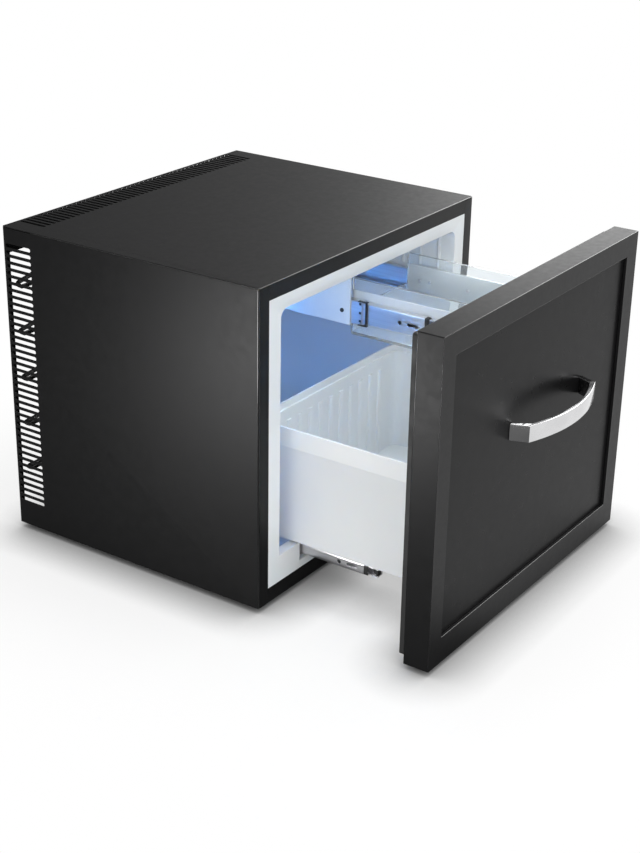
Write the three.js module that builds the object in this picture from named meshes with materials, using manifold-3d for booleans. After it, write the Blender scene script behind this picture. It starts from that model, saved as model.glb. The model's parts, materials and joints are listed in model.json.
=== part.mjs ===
import * as THREE from "three";
import { mergeVertices } from "three/addons/utils/BufferGeometryUtils.js";
import Module from "manifold-3d";

// Drawer-type hotel minibar: a folded steel case round an insulated liner, a drawer on telescopic
// slides and a silent thermoelectric cooling unit in an open compartment at the back.
// Millimetres: X is the width, Y runs from front to back and Z is up.
// Pieces are drawn with the drawer shut, from the middle of the case's bottom edge. The groups then
// pull the drawer and the middle members of its slides out to where they stand.

// Clearance between neighbouring pieces, and the running gap of the slides
const FIT = 0.3;
const RUNNING_GAP = 0.35;

// How far a cutting solid reaches past the surface that it opens
const OVERCUT = 1;

// Case
const CASE_WIDTH = 490;
const CASE_DEPTH = 406;
const CASE_HEIGHT = 420;
const SHEET = 1.2;
const BEND_RADIUS = 2.5;
const FRONT_RETURN = 20;
const REAR_RETURN = 10;
const LID_REAR_RETURN = 38;
const SEAM = 0.9;
const FOOT_HEIGHT = 8;
const FOOT_RADIUS = 16;
const FOOT_INSET = 38;
const FOOT_CHAMFER = 1.5;
const FOOT_TAPER = 0.82;

// Ventilation slots
const SLOT_WIDTH = 5.2;
const SLOT_PITCH = 9.16;
const SLOT_LENGTH = 42.5;
const SLOT_MARGIN = 25;
const SLOT_TO_BACK = 4.5;
const SLOT_RISE = 6.5;
const SLOT_ROUNDING = 0.45;

// Liner and insulation
const LINER_WALL = 2;
const SIDE_INSULATION = 43.5;
const TOP_INSULATION = 38;
const BACK_INSULATION = 37;
const LINER_FLOOR = 28;
const SILL_TOP = 57;
const SILL_DEPTH = 14;
const MOUTH_RADIUS = 12;
const RIB_DEPTH = 1.5;
const RIB_WIDTH = 6.5;
const RIB_PITCH = 28.5;
const RIB_TO_FRONT = 24.5;
const RIB_TO_SLIDE = 5;
const COMPARTMENT_DEPTH = 49;

// Cooling unit
const COOLER_RISE = 5;
const COLD_BLOCK_SIZE = 50;
const PELTIER_SIZE = 40;
const PELTIER_THICKNESS = 3.8;
const HOT_PLATE_WIDTH = 100;
const HOT_PLATE_HEIGHT = 310;
const HOT_PLATE_THICKNESS = 6;
const COLD_SINK_WIDTH = 124;
const COLD_SINK_HEIGHT = 170;
const COLD_SINK_BASE = 5;
const FIN_DEPTH = 22;
const FIN_THICKNESS = 2;
const FIN_PITCH = 10;
const COIL_TUBE = 6;
const COIL_BEND = 16.5;
const COIL_PITCH = 65;
const COIL_MARGIN = 40;
const COIL_TO_SIDE = 5;
const COIL_SIDES = 8;
const BEND_STEPS = 8;
const SUPPLY_WIDTH = 140;
const SUPPLY_HEIGHT = 26;
const SUPPLY_DEPTH = 36;
const SUPPLY_RADIUS = 3;
const SUPPLY_TO_SIDE = 45;
const INLET_WIDTH = 30;
const INLET_HEIGHT = 22;
const INLET_DEPTH = 8;
const INLET_WALL = 3;
const INLET_RADIUS = 2;

// Lamp
const LAMP_WIDTH = 70;
const LAMP_DEPTH = 34;
const LAMP_BASE = 6;
const LAMP_RADIUS = 6;
const LENS_DEPTH = 7;
const LENS_INSET = 3;
const LAMP_SET_BACK = 22;
const LAMP_TO_SIDE = 76;

// Drawer front
const SEAL_GAP = 10.5;
const FRONT_THICKNESS = 34;
const FRONT_HEIGHT = 418;
const FRONT_DROP = 1;
const FRONT_SKIN = 2;
const FRONT_EDGE = 1.5;
const BORDER_SIDE = 28;
const BORDER_BOTTOM = 35;
const BORDER_TOP = 28.5;
const RECESS_DEPTH = 4.5;
const INSERT_THICKNESS = 3;
const INSERT_LAP = 6;
const INNER_PANEL_THICKNESS = 2.5;
const GASKET_INSET = 7;
const GASKET_WIDTH = 16;
const GASKET_NECK = 8;
const GASKET_NECK_DEPTH = 4;
const GASKET_RADIUS = 3;

// Handle
const HANDLE_CENTRES = 183;
const HANDLE_HEIGHT = 22;
const HANDLE_TO_TOP = 173;
const HANDLE_OFFSET = 24;
const HANDLE_FOOT = 8.5;
const HANDLE_LEAN = 8.5;
const HANDLE_SHOULDER = 23;
const HANDLE_REACH = 40;
const HANDLE_BAND = 4.5;
const HANDLE_EDGE = 0.8;

// Drawer bin
const BIN_TO_MOUTH = 34.5;
const BIN_BOTTOM = 60;
const BIN_TOP = 215;
const BIN_WALL = 2.5;
const BIN_RADIUS = 18;
const BIN_RIM_HEIGHT = 25;
const BIN_RIM_PROUD = 3;
const BIN_LIP_HEIGHT = 9;
const BIN_TO_BACK = 48.5;
const FLUTE_WIDTH = 10;
const FLUTE_DEPTH = 2.3;
const FLUTE_PITCH = 24;

// Telescopic slides
const SLIDE_SHEET = 1.2;
const SLIDE_BEND = 1.8;
const SLIDE_THICKNESS = 12;
const SLIDE_FLANGE_SET_BACK = 2.5;
const SLIDE_STOP_LENGTH = 6;
const SLIDE_TO_BACK = 30;
const SLIDE_HOLE_RADIUS = 2.8;
const SLIDE_HOLE_TO_STOP = 37;
const SLIDE_SLOT_WIDTH = 4.4;
const SLIDE_SLOT_LENGTH = 16.5;
const SLIDE_SLOT_TO_STOP = 9;
const LOWER_SLIDE_HEIGHT = 17;
const LOWER_SLIDE_BOTTOM = 38;
const LOWER_SLIDE_INSET = 12;
const LOWER_INNER_SET_BACK = 97;
const UPPER_SLIDE_HEIGHT = 32;
const UPPER_SLIDE_BOTTOM = 284.5;
const UPPER_SLIDE_SET_BACK = 40;
const BRACKET_SHEET = 1.5;
const BRACKET_FOOT = 20;
const NOTCH_MARGIN = 2;
const NOTCH_BOTTOM = 31;

// Upper tray and its hanger
const TRAY_WIDTH = 138;
const TRAY_WALL = 3;
const TRAY_BOTTOM = 263;
const TRAY_TOP = 342;
const TRAY_RAIL_HEIGHT = 15;
const TRAY_END_HEIGHT = 34;
const TRAY_FRONT_GAP = 10;
const TRAY_RADIUS = 5;
const SIDE_PLATE = 1.5;
const SIDE_PLATE_BOTTOM = 289;
const HANGER_SHEET = 2;
const HANGER_DROP = 100;
const HANGER_FLANGE = 24;
const HANGER_SET_BACK = 57;
const STAY_WIDTH = 98;
const STAY_LENGTH = 60;
const STAY_TO_BIN = 10;

// How far the drawer stands open
const DRAWER_OPEN = 201.5;
const MIDDLE_OPEN = DRAWER_OPEN / 2;

// Planes that several pieces share
const HALF_WIDTH = CASE_WIDTH / 2;
const FRONT_Y = -CASE_DEPTH / 2;
const BACK_Y = CASE_DEPTH / 2;
const PANEL_TOP = CASE_HEIGHT - SHEET;
const INSIDE_X = HALF_WIDTH - SHEET - FIT;
const BULKHEAD_Y = BACK_Y - COMPARTMENT_DEPTH;
const LINER_BACK = BULKHEAD_Y - BACK_INSULATION;
const CAVITY_BACK = LINER_BACK - LINER_WALL;
const MOUTH_X = HALF_WIDTH - SIDE_INSULATION;
const MOUTH_TOP = CASE_HEIGHT - TOP_INSULATION;
const SILL_BACK = FRONT_Y + SILL_DEPTH;
const COOLER_Z = CASE_HEIGHT / 2 + COOLER_RISE;
const FRONT_BACK = FRONT_Y - SEAL_GAP;
const FRONT_FACE = FRONT_BACK - FRONT_THICKNESS;
const FRONT_BOTTOM = -FRONT_DROP;
const FRONT_TOP = FRONT_BOTTOM + FRONT_HEIGHT;
const INSERT_FACE = FRONT_FACE + RECESS_DEPTH;
const BIN_X = MOUTH_X - BIN_TO_MOUTH;
const BIN_FRONT = FRONT_BACK + FIT;
const BIN_BACK = CAVITY_BACK - BIN_TO_BACK;
const SLIDE_BACK = CAVITY_BACK - SLIDE_TO_BACK;
const LOWER_SLIDE_X = BIN_X - LOWER_SLIDE_INSET;
const LOWER_INNER_FRONT = FRONT_BACK + LOWER_INNER_SET_BACK;
const TRAY_RIGHT = MOUTH_X - FIT - SLIDE_THICKNESS - SIDE_PLATE - 2 * FIT;
const TRAY_LEFT = TRAY_RIGHT - TRAY_WIDTH;
const TRAY_FRONT = FRONT_BACK + TRAY_FRONT_GAP;
const UPPER_SLIDE_FRONT = FRONT_Y + UPPER_SLIDE_SET_BACK;
const HANGER_FACE = TRAY_LEFT - SIDE_PLATE - SLIDE_THICKNESS - 3 * FIT;

const wasm = await Module();
wasm.setup();

// A closed three.js geometry as a solid that can be joined and cut
function solidOf(geometry) {
  geometry.deleteAttribute("normal");
  geometry.deleteAttribute("uv");
  const merged = mergeVertices(geometry, 1e-4);
  const corners = merged.index.array;
  const triVerts = [];
  for (let i = 0; i < corners.length; i += 3) {
    const [a, b, c] = corners.slice(i, i + 3);
    if (a !== b && b !== c && c !== a) triVerts.push(a, b, c);
  }
  return new wasm.Manifold(
    new wasm.Mesh({
      numProp: 3,
      vertProperties: new Float32Array(merged.attributes.position.array),
      triVerts: new Uint32Array(triVerts),
    }),
  );
}

function geometryOf(solid) {
  const { vertProperties, triVerts } = solid.getMesh();
  const geometry = new THREE.BufferGeometry();
  geometry.setAttribute("position", new THREE.Float32BufferAttribute(vertProperties, 3));
  geometry.setIndex(new THREE.Uint32BufferAttribute(triVerts, 1));
  geometry.computeVertexNormals();
  return geometry;
}

function block([x0, x1], [y0, y1], [z0, z1]) {
  const box = new THREE.BoxGeometry(x1 - x0, y1 - y0, z1 - z0);
  box.translate((x0 + x1) / 2, (y0 + y1) / 2, (z0 + z1) / 2);
  return solidOf(box);
}

// Extrusions of one outline, or of several side by side, along each axis
function extruded(shapes, [from, to], curveSegments) {
  return new THREE.ExtrudeGeometry(shapes, { depth: to - from, bevelEnabled: false, curveSegments });
}

function alongZ(shapes, span, curveSegments = 6) {
  return solidOf(extruded(shapes, span, curveSegments).translate(0, 0, span[0]));
}

function alongY(shapes, span, curveSegments = 6) {
  return solidOf(extruded(shapes, span, curveSegments).rotateX(Math.PI / 2).translate(0, span[1], 0));
}

function alongX(shapes, span, curveSegments = 6) {
  const turn = new THREE.Matrix4().makeBasis(
    new THREE.Vector3(0, 1, 0),
    new THREE.Vector3(0, 0, 1),
    new THREE.Vector3(1, 0, 0),
  );
  return solidOf(extruded(shapes, span, curveSegments).applyMatrix4(turn).translate(span[0], 0, 0));
}

function polygon(points) {
  return new THREE.Shape(points.map(([u, v]) => new THREE.Vector2(u, v)));
}

function rounded([u0, u1], [v0, v1], radius) {
  const shape = new THREE.Shape();
  shape.moveTo(u0 + radius, v0);
  shape.absarc(u1 - radius, v0 + radius, radius, -Math.PI / 2, 0);
  shape.absarc(u1 - radius, v1 - radius, radius, 0, Math.PI / 2);
  shape.absarc(u0 + radius, v1 - radius, radius, Math.PI / 2, Math.PI);
  shape.absarc(u0 + radius, v0 + radius, radius, Math.PI, 1.5 * Math.PI);
  return shape;
}

function frameShape(outer, inner) {
  outer.holes.push(inner);
  return outer;
}

function disc(u, v, radius) {
  return new THREE.Shape().absarc(u, v, radius, 0, 2 * Math.PI);
}

function oval(u, v, halfU, halfV) {
  return new THREE.Shape().absellipse(u, v, halfU, halfV, 0, 2 * Math.PI);
}

// Spans: one of a given length about a middle, and one grown at both ends
function centred(middle, length) {
  return [middle - length / 2, middle + length / 2];
}

function grown([low, high], by) {
  return [low - by, high + by];
}

// Middles of the slots of a row of a given length, centred on the row
function slotMiddles(length) {
  const count = Math.floor((length - 2 * SLOT_MARGIN) / SLOT_PITCH);
  return Array.from({ length: count }, (_, i) => (i - (count - 1) / 2) * SLOT_PITCH);
}

// Materials
function finish(color, roughness, metalness = 0, more = {}) {
  return new THREE.MeshStandardMaterial({ color, roughness, metalness, ...more });
}

const BLACK_PAINT = finish(0x2e2e30, 0.42, 0.1);
const BLACK_INSERT = finish(0x303032, 0.3, 0.1);
const WHITE_PLASTIC = finish(0xeceeee, 0.35);
const WHITE_METAL = finish(0xd9dcdd, 0.4, 0.2);
const FOAM = finish(0xe8d9a8, 0.9);
const ZINC = finish(0xb4b7ba, 0.32, 0.9);
const ALUMINIUM = finish(0xc3c6c9, 0.4, 0.9);
const CHROME = finish(0xd6d8da, 0.18, 1);
const BLACK_RUBBER = finish(0x161617, 0.7);
const BLACK_PLASTIC = finish(0x1c1c1e, 0.5);
const COIL_PAINT = finish(0x1d1d1f, 0.5, 0.3);
const CERAMIC = finish(0xf2f2ee, 0.6);
const ACRYLIC = finish(0xdfeaf0, 0.06, 0, { transparent: true, opacity: 0.35 });
const LENS = finish(0xe4f2ff, 0.2, 0, { transparent: true, opacity: 0.7 });

// The case stands on its feet, and the middle of the space that the open part takes up is over the origin
const minibar = new THREE.Group();
const reach = INSERT_FACE - HANDLE_REACH - DRAWER_OPEN;
minibar.position.set(0, -(reach + BACK_Y) / 2, FOOT_HEIGHT);
const cabinet = new THREE.Group();
const drawer = new THREE.Group();
drawer.position.y = -DRAWER_OPEN;
const middles = new THREE.Group();
middles.position.y = -MIDDLE_OPEN;
minibar.add(cabinet, drawer, middles);

function place(group, name, material, solid) {
  const mesh = new THREE.Mesh(geometryOf(solid), material);
  mesh.name = name;
  group.add(mesh);
}

// Side panel: one folded sheet with a wide return at the front, a narrow one at the back and slots
function sidePanel(side) {
  const path = new THREE.Path();
  path.moveTo(FRONT_RETURN, FRONT_Y);
  path.lineTo(FRONT_RETURN, FRONT_Y + SHEET);
  path.lineTo(SHEET, FRONT_Y + SHEET);
  path.lineTo(SHEET, BACK_Y - SHEET);
  path.lineTo(REAR_RETURN, BACK_Y - SHEET);
  path.lineTo(REAR_RETURN, BACK_Y);
  path.absarc(BEND_RADIUS, BACK_Y - BEND_RADIUS, BEND_RADIUS, Math.PI / 2, Math.PI);
  path.absarc(BEND_RADIUS, FRONT_Y + BEND_RADIUS, BEND_RADIUS, Math.PI, 1.5 * Math.PI);
  const outline = path.getPoints(4).map(({ x, y }) => [side * (HALF_WIDTH - x), y]);
  const slotBack = BACK_Y - SLOT_TO_BACK;
  const slots = slotMiddles(CASE_HEIGHT).map((z) => {
    const middle = CASE_HEIGHT / 2 + SLOT_RISE + z;
    const across = [middle - SLOT_WIDTH / 2, middle + SLOT_WIDTH / 2];
    return rounded([slotBack - SLOT_LENGTH, slotBack], across, SLOT_ROUNDING * SLOT_WIDTH);
  });
  const wall = [side * HALF_WIDTH - 2 * SHEET, side * HALF_WIDTH + 2 * SHEET];
  return alongZ(polygon(outline), [0, PANEL_TOP - SEAM]).subtract(alongX(slots, wall, 1));
}

// Top panel: a lid with returns between those of the sides, the rear one deep, and a row of slots
function topPanel() {
  const slotBack = BACK_Y - SLOT_TO_BACK;
  const slots = slotMiddles(CASE_WIDTH).map((x) => {
    const across = [x - SLOT_WIDTH / 2, x + SLOT_WIDTH / 2];
    return rounded(across, [slotBack - SLOT_LENGTH, slotBack], SLOT_ROUNDING * SLOT_WIDTH);
  });
  const lid = rounded([-HALF_WIDTH, HALF_WIDTH], [FRONT_Y, BACK_Y], BEND_RADIUS);
  const returnX = HALF_WIDTH - FRONT_RETURN - FIT;
  const returnZ = [CASE_HEIGHT - FRONT_RETURN, CASE_HEIGHT - SHEET / 2];
  const frontReturn = block([-returnX, returnX], [FRONT_Y, FRONT_Y + SHEET], returnZ);
  const rearX = HALF_WIDTH - REAR_RETURN - FIT;
  const rearZ = [CASE_HEIGHT - LID_REAR_RETURN, CASE_HEIGHT - SHEET / 2];
  const rearReturn = block([-rearX, rearX], [BACK_Y - SHEET, BACK_Y], rearZ);
  return alongZ(lid, [PANEL_TOP, CASE_HEIGHT])
    .add(frontReturn)
    .add(rearReturn)
    .subtract(alongZ(slots, [PANEL_TOP - SHEET, CASE_HEIGHT + SHEET], 1));
}

// Base panel: the floor of the case, folded up at the front and a little at the back
function basePanel() {
  const returnX = HALF_WIDTH - FRONT_RETURN - FIT;
  const rearX = HALF_WIDTH - REAR_RETURN - FIT;
  const floor = block([-INSIDE_X, INSIDE_X], [FRONT_Y + SHEET + FIT, BACK_Y - SHEET - FIT], [0, SHEET]);
  const frontReturn = block([-returnX, returnX], [FRONT_Y, FRONT_Y + SHEET], [0, FRONT_RETURN]);
  const joint = block([-returnX, returnX], [FRONT_Y, FRONT_Y + 2 * SHEET], [0, SHEET]);
  const rearReturn = block([-rearX, rearX], [BACK_Y - 2 * SHEET, BACK_Y - FIT], [0, SHEET]);
  return floor.add(joint).add(frontReturn).add(rearReturn);
}

function rearBulkhead() {
  const half = PELTIER_SIZE / 2 + FIT;
  const window = [COOLER_Z - half, COOLER_Z + half];
  const height = [SHEET + FIT, PANEL_TOP - FIT];
  return block([-INSIDE_X, INSIDE_X], [BULKHEAD_Y, BULKHEAD_Y + SHEET], height).subtract(
    block([-half, half], [BULKHEAD_Y - SHEET, BULKHEAD_Y + 2 * SHEET], window),
  );
}

// The notch that lets a lower slide and its carrier through the sill
function sillNotch(side) {
  const outer = LOWER_SLIDE_X + NOTCH_MARGIN;
  const inner = LOWER_SLIDE_X - SLIDE_THICKNESS - BRACKET_SHEET - FIT - NOTCH_MARGIN;
  const across = [side * outer, side * inner].sort((a, b) => a - b);
  return block(across, [FRONT_Y - OVERCUT, SILL_BACK + OVERCUT], [NOTCH_BOTTOM, SILL_TOP + OVERCUT]);
}

// Upright half-round ribs on both side walls of the liner, above the slides
function wallRibs() {
  const count = Math.floor((CAVITY_BACK - FRONT_Y - RIB_TO_FRONT) / RIB_PITCH);
  const ribs = [];
  for (let i = 0; i < count; i++) {
    const y = FRONT_Y + RIB_TO_FRONT + i * RIB_PITCH;
    ribs.push(oval(-MOUTH_X, y, RIB_DEPTH, RIB_WIDTH / 2), oval(MOUTH_X, y, RIB_DEPTH, RIB_WIDTH / 2));
  }
  const bottom = UPPER_SLIDE_BOTTOM + UPPER_SLIDE_HEIGHT + RIB_TO_SLIDE;
  return alongZ(ribs, [bottom, MOUTH_TOP - MOUTH_RADIUS], 3);
}

// Inner liner: a moulded tub with a flange round its mouth, ribbed walls and a notched sill
function innerLiner() {
  const outerX = MOUTH_X + LINER_WALL;
  const flangeX = HALF_WIDTH - FRONT_RETURN - FIT;
  const flangeZ = [FRONT_RETURN + FIT, CASE_HEIGHT - FRONT_RETURN - FIT];
  const flange = block([-flangeX, flangeX], [FRONT_Y, FRONT_Y + LINER_WALL], flangeZ);
  const tubZ = grown([LINER_FLOOR, MOUTH_TOP], LINER_WALL);
  const tub = block([-outerX, outerX], [FRONT_Y, LINER_BACK], tubZ);
  const cavity = alongY(
    rounded([-MOUTH_X, MOUTH_X], [LINER_FLOOR, MOUTH_TOP], MOUTH_RADIUS),
    [FRONT_Y - OVERCUT, CAVITY_BACK],
  );
  const sill = block([-outerX, outerX], [FRONT_Y, SILL_BACK], [FRONT_RETURN + FIT, SILL_TOP]);
  const half = COLD_BLOCK_SIZE / 2 + FIT;
  const windowY = grown([CAVITY_BACK, LINER_BACK], OVERCUT);
  const window = block([-half, half], windowY, centred(COOLER_Z, 2 * half));
  return flange
    .add(tub)
    .subtract(cavity)
    .add(sill)
    .add(wallRibs())
    .subtract(sillNotch(-1))
    .subtract(sillNotch(1))
    .subtract(window);
}

// Foam fills the space between the liner and the case, and lets the cold block through
function insulationFoam() {
  const outerX = MOUTH_X + LINER_WALL + FIT;
  const frontY = FRONT_Y + LINER_WALL + FIT;
  const tubZ = [LINER_FLOOR - LINER_WALL - FIT, MOUTH_TOP + LINER_WALL + FIT];
  const tub = block([-outerX, outerX], [frontY - OVERCUT, LINER_BACK + FIT], tubZ);
  const sill = block([-outerX, outerX], [frontY - OVERCUT, SILL_BACK + FIT], [FRONT_RETURN, SILL_TOP]);
  const half = COLD_BLOCK_SIZE / 2 + FIT;
  const passage = block([-half, half], [LINER_BACK, BULKHEAD_Y], [COOLER_Z - half, COOLER_Z + half]);
  return block([-INSIDE_X, INSIDE_X], [frontY, BULKHEAD_Y - FIT], [SHEET + FIT, PANEL_TOP - FIT])
    .subtract(tub)
    .subtract(sill)
    .subtract(passage);
}

// Foot: a turned rubber pad with a chamfered tread
function foot(x, y) {
  const profile = [
    [0, -FOOT_HEIGHT],
    [FOOT_RADIUS - FOOT_CHAMFER, -FOOT_HEIGHT],
    [FOOT_RADIUS, FOOT_CHAMFER - FOOT_HEIGHT],
    [FOOT_TAPER * FOOT_RADIUS, -FIT],
    [0, -FIT],
  ];
  const lathe = new THREE.LatheGeometry(profile.map(([r, z]) => new THREE.Vector2(r, z)), 20);
  return solidOf(lathe.rotateX(Math.PI / 2).translate(x, y, 0));
}

// Cooling unit, from the cold side in the liner to the hot side in the compartment
const PELTIER_FRONT = BULKHEAD_Y + SHEET / 2 - PELTIER_THICKNESS / 2;
const HOT_PLATE_FRONT = PELTIER_FRONT + PELTIER_THICKNESS + FIT;
const HOT_PLATE_BACK = HOT_PLATE_FRONT + HOT_PLATE_THICKNESS;
const COIL_FRONT = HOT_PLATE_BACK + FIT + COIL_TUBE / 2;

function coldSink() {
  const back = CAVITY_BACK - FIT;
  const root = back - COLD_SINK_BASE;
  const halfWidth = COLD_SINK_WIDTH / 2;
  const fins = Math.floor((COLD_SINK_WIDTH - FIN_THICKNESS) / FIN_PITCH) + 1;
  const outline = [[-halfWidth, back], [-halfWidth, root]];
  for (let i = 0; i < fins; i++) {
    const left = (i - (fins - 1) / 2) * FIN_PITCH - FIN_THICKNESS / 2;
    outline.push([left, root], [left, root - FIN_DEPTH]);
    outline.push([left + FIN_THICKNESS, root - FIN_DEPTH], [left + FIN_THICKNESS, root]);
  }
  outline.push([halfWidth, root], [halfWidth, back]);
  return alongZ(polygon(outline), centred(COOLER_Z, COLD_SINK_HEIGHT));
}

// A tube with closed ends along a list of points
function tubeAlong(points, radius, sides) {
  const rings = [];
  const normal = new THREE.Vector3(0, 0, 1);
  points.forEach((point, i) => {
    const before = points[Math.max(i - 1, 0)];
    const after = points[Math.min(i + 1, points.length - 1)];
    const tangent = after.clone().sub(before).normalize();
    const up = normal.clone().addScaledVector(tangent, -normal.dot(tangent)).normalize();
    const across = tangent.clone().cross(up);
    for (let k = 0; k < sides; k++) {
      const angle = (2 * Math.PI * k) / sides;
      const corner = point.clone().addScaledVector(up, radius * Math.cos(angle));
      rings.push(corner.addScaledVector(across, radius * Math.sin(angle)));
    }
  });
  const first = rings.length;
  rings.push(points[0], points[points.length - 1]);
  const index = [];
  const lastRing = (points.length - 1) * sides;
  for (let k = 0; k < sides; k++) {
    const next = (k + 1) % sides;
    for (let ring = 0; ring < lastRing; ring += sides) {
      index.push(ring + k, ring + next, ring + sides + k);
      index.push(ring + next, ring + sides + next, ring + sides + k);
    }
    index.push(first, next, k);
    index.push(first + 1, lastRing + k, lastRing + next);
  }
  const geometry = new THREE.BufferGeometry().setFromPoints(rings);
  geometry.setIndex(index);
  return solidOf(geometry);
}

// The condenser winds upwards: level runs across the back, joined by bends that climb half a pitch
function coilPoints() {
  const turns = Math.floor((CASE_HEIGHT - 2 * COIL_MARGIN) / COIL_PITCH);
  const bendX = HALF_WIDTH - COIL_TO_SIDE - COIL_BEND - COIL_TUBE / 2;
  const middleY = COIL_FRONT + COIL_BEND;
  const points = [new THREE.Vector3(0, COIL_FRONT, COIL_MARGIN)];
  for (let half = 0; half < 2 * turns; half++) {
    const side = half % 2 === 0 ? 1 : -1;
    for (let step = 0; step <= BEND_STEPS; step++) {
      const angle = Math.PI * (step / BEND_STEPS - 0.5);
      const climb = (half + step / BEND_STEPS) * (COIL_PITCH / 2);
      points.push(
        new THREE.Vector3(
          side * (bendX + COIL_BEND * Math.cos(angle)),
          middleY + side * COIL_BEND * Math.sin(angle),
          COIL_MARGIN + climb,
        ),
      );
    }
  }
  points.push(new THREE.Vector3(0, COIL_FRONT, COIL_MARGIN + turns * COIL_PITCH));
  return points;
}

// Least gap between turns of a wound tube, from its points more than one bend apart
function leastGap(points, diameter, apart) {
  let least = Infinity;
  points.forEach((point, i) => {
    points.slice(i + apart).forEach((other) => {
      least = Math.min(least, point.distanceTo(other) - diameter);
    });
  });
  return least;
}

function powerSupply() {
  const right = -HALF_WIDTH + SUPPLY_TO_SIDE + SUPPLY_WIDTH;
  const back = BACK_Y - SHEET - INLET_DEPTH - 2 * FIT;
  const outline = rounded([right - SUPPLY_WIDTH, right], [back - SUPPLY_DEPTH, back], SUPPLY_RADIUS);
  return alongZ(outline, [SHEET + FIT, SHEET + FIT + SUPPLY_HEIGHT], 3);
}

function mainsInlet() {
  const middleX = -HALF_WIDTH + SUPPLY_TO_SIDE + SUPPLY_WIDTH / 2;
  const middleZ = SHEET + FIT + SUPPLY_HEIGHT / 2;
  const front = BACK_Y - SHEET - INLET_DEPTH - FIT;
  const back = front + INLET_DEPTH;
  const shell = rounded(centred(middleX, INLET_WIDTH), centred(middleZ, INLET_HEIGHT), INLET_RADIUS);
  const socketX = centred(middleX, INLET_WIDTH - 2 * INLET_WALL);
  const socketZ = centred(middleZ, INLET_HEIGHT - 2 * INLET_WALL);
  const socket = alongY(rounded(socketX, socketZ, INLET_RADIUS), [front + INLET_WALL, back + OVERCUT], 3);
  return alongY(shell, [front, back], 3).subtract(socket);
}

// Ceiling lamp of the liner
const LAMP_X = centred(-MOUTH_X + LAMP_TO_SIDE + LAMP_WIDTH / 2, LAMP_WIDTH);
const LAMP_Y = [FRONT_Y + LAMP_SET_BACK, FRONT_Y + LAMP_SET_BACK + LAMP_DEPTH];

function lampHousing() {
  return alongZ(rounded(LAMP_X, LAMP_Y, LAMP_RADIUS), [MOUTH_TOP - FIT - LAMP_BASE, MOUTH_TOP - FIT], 4);
}

function lampLens() {
  const top = MOUTH_TOP - LAMP_BASE - 2 * FIT;
  const outline = rounded(grown(LAMP_X, -LENS_INSET), grown(LAMP_Y, -LENS_INSET), LAMP_RADIUS - LENS_INSET);
  return alongZ(outline, [top - LENS_DEPTH, top], 4);
}

// Telescopic slide: three nested channels. Depth is counted from the face that the slide is fixed to.
function channel(height, [near, far], openAway) {
  const half = height / 2;
  const bend = SLIDE_BEND;
  const path = new THREE.Path();
  path.moveTo(far, -half);
  path.lineTo(far, SLIDE_SHEET - half);
  path.lineTo(near + SLIDE_SHEET, SLIDE_SHEET - half);
  path.lineTo(near + SLIDE_SHEET, half - SLIDE_SHEET);
  path.lineTo(far, half - SLIDE_SHEET);
  path.lineTo(far, half);
  path.absarc(near + bend, half - bend, bend, Math.PI / 2, Math.PI);
  path.absarc(near + bend, bend - half, bend, Math.PI, 1.5 * Math.PI);
  return path.getPoints(3).map(({ x, y }) => [openAway ? x : near + far - x, y]);
}

// The members of a slide whose fixing face is at x and which grows in the direction of grow.
// The middle one has a round hole and a slot in its web behind the stop.
function slideMembers({ x, grow, bottom, height, front, back, innerFront }) {
  const step = SLIDE_SHEET + RUNNING_GAP;
  const flange = SLIDE_THICKNESS - SLIDE_FLANGE_SET_BACK;
  const middle = bottom + height / 2;
  const set = (points) => polygon(points.map(([s, h]) => [x + grow * s, middle + h]));
  const outer = set(channel(height, [0, flange], true));
  const centre = set(channel(height - 2 * step, [step, flange], true));
  const inner = set(channel(height - 4 * step, [2 * step, SLIDE_THICKNESS], false));
  const stopBack = front + SLIDE_STOP_LENGTH;
  const slotFront = stopBack + SLIDE_SLOT_TO_STOP;
  const slotZ = centred(middle, SLIDE_SLOT_WIDTH);
  const slot = rounded([slotFront, slotFront + SLIDE_SLOT_LENGTH], slotZ, SLOT_ROUNDING * SLIDE_SLOT_WIDTH);
  const hole = disc(stopBack + SLIDE_HOLE_TO_STOP, middle, SLIDE_HOLE_RADIUS);
  const web = centred(x + grow * (step + SLIDE_SHEET / 2), SLIDE_SHEET + 2 * OVERCUT);
  return {
    outer: alongY(outer, [front, back], 3),
    middle: alongY(centre, [stopBack, back], 3).subtract(alongX([hole, slot], web, 4)),
    stop: alongY(centre, [front, stopBack - FIT], 3),
    inner: alongY(inner, [innerFront, BIN_BACK], 3),
  };
}

const SLIDES = {
  lower_left: {
    x: -LOWER_SLIDE_X,
    grow: 1,
    bottom: LOWER_SLIDE_BOTTOM,
    height: LOWER_SLIDE_HEIGHT,
    front: FRONT_Y,
    back: SLIDE_BACK,
    innerFront: LOWER_INNER_FRONT,
  },
  lower_right: {
    x: LOWER_SLIDE_X,
    grow: -1,
    bottom: LOWER_SLIDE_BOTTOM,
    height: LOWER_SLIDE_HEIGHT,
    front: FRONT_Y,
    back: SLIDE_BACK,
    innerFront: LOWER_INNER_FRONT,
  },
  upper_left: {
    x: HANGER_FACE + FIT,
    grow: 1,
    bottom: UPPER_SLIDE_BOTTOM,
    height: UPPER_SLIDE_HEIGHT,
    front: UPPER_SLIDE_FRONT,
    back: SLIDE_BACK,
    innerFront: TRAY_FRONT,
  },
  upper_right: {
    x: MOUTH_X - FIT,
    grow: -1,
    bottom: UPPER_SLIDE_BOTTOM,
    height: UPPER_SLIDE_HEIGHT,
    front: UPPER_SLIDE_FRONT,
    back: SLIDE_BACK,
    innerFront: TRAY_FRONT,
  },
};

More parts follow.
